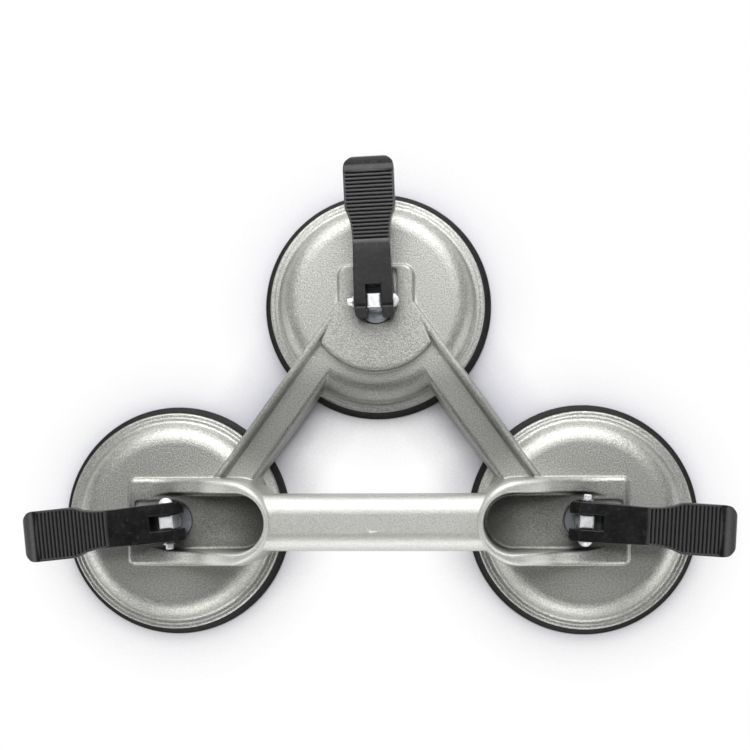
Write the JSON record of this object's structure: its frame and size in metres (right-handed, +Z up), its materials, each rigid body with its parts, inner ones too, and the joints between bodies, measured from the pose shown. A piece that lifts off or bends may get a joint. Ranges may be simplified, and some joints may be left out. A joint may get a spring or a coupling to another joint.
{
  "type": "floor tile suction lifter",
  "caption": "Triangular cast frame with a bar handle that lifts tiles and panels by round suction pads, each worked by a cam lever.",
  "frame": {"origin": "middle of the footprint on the surface that the pads stand on", "axes": "+X along the handle towards the right cup, +Y from the handle towards the single top cup, +Z up"},
  "size_m": [0.3596, 0.2446, 0.052],
  "materials": {
    "cast_aluminium": "silver-grey sparkle paint on a fine-grained casting",
    "black_rubber": "matte moulded rubber",
    "black_nylon": "satin moulded nylon",
    "bright_zinc": "bright zinc plating",
    "plain_steel": "plain pressed steel"
  },
  "bodies": {
    "frame": {"frame_casting": "cast_aluminium", "left_bearing_washer": "bright_zinc", "right_bearing_washer": "bright_zinc", "top_bearing_washer": "bright_zinc"},
    "left_pad_body": {"left_suction_pad": "black_rubber"},
    "left_stud_body": {"left_insert_plate": "plain_steel", "left_pull_stud": "bright_zinc"},
    "left_lever_body": {"left_lever": "black_nylon", "left_pivot_pin": "bright_zinc", "left_retaining_clip": "bright_zinc"},
    "right_pad_body": {"right_suction_pad": "black_rubber"},
    "right_stud_body": {"right_insert_plate": "plain_steel", "right_pull_stud": "bright_zinc"},
    "right_lever_body": {"right_lever": "black_nylon", "right_pivot_pin": "bright_zinc", "right_retaining_clip": "bright_zinc"},
    "top_pad_body": {"top_suction_pad": "black_rubber"},
    "top_stud_body": {"top_insert_plate": "plain_steel", "top_pull_stud": "bright_zinc"},
    "top_lever_body": {"top_lever": "black_nylon", "top_pivot_pin": "bright_zinc", "top_retaining_clip": "bright_zinc"}
  },
  "joints": [
    {"name": "left_swivel", "type": "hinge", "parent": "frame", "child": "left_pad_body", "pos_m": [-0.1052, -0.06325, 0], "axis": [0, 0, 1], "range_deg": [-12.2, 0.2]},
    {"name": "left_pull", "type": "slide", "parent": "left_pad_body", "child": "left_stud_body", "axis": [0, 0, 1], "range_m": [-0.0045, 0], "deforming": ["left_suction_pad"]},
    {"name": "left_lever_lift", "type": "hinge", "parent": "left_stud_body", "child": "left_lever_body", "pos_m": [-0.1052, -0.06325, 0.0325], "axis": [-0.1045, 0.9945, 0], "range_deg": [0, 90]},
    {"name": "right_swivel", "type": "hinge", "parent": "frame", "child": "right_pad_body", "pos_m": [0.1052, -0.06325, 0], "axis": [0, 0, 1], "range_deg": [-2.3, 10.1]},
    {"name": "right_pull", "type": "slide", "parent": "right_pad_body", "child": "right_stud_body", "axis": [0, 0, 1], "range_m": [-0.0045, 0], "deforming": ["right_suction_pad"]},
    {"name": "right_lever_lift", "type": "hinge", "parent": "right_stud_body", "child": "right_lever_body", "pos_m": [0.1052, -0.06325, 0.0325], "axis": [-0.068, -0.9977, 0], "range_deg": [0, 90]},
    {"name": "top_swivel", "type": "hinge", "parent": "frame", "child": "top_pad_body", "pos_m": [0, 0.04795, 0], "axis": [0, 0, 1], "range_deg": [-8.45, 3.95]},
    {"name": "top_pull", "type": "slide", "parent": "top_pad_body", "child": "top_stud_body", "axis": [0, 0, 1], "range_m": [-0.0045, 0], "deforming": ["top_suction_pad"]},
    {"name": "top_lever_lift", "type": "hinge", "parent": "top_stud_body", "child": "top_lever_body", "pos_m": [0, 0.04795, 0.0325], "axis": [0.9992, 0.0393, 0], "range_deg": [0, 90]}
  ],
  "couplings": [
    {"joint": "left_pull", "follows": "left_lever_lift", "m_per_rad": -0.0028648},
    {"joint": "right_pull", "follows": "right_lever_lift", "m_per_rad": -0.0028648},
    {"joint": "top_pull", "follows": "top_lever_lift", "m_per_rad": -0.0028648}
  ]
}
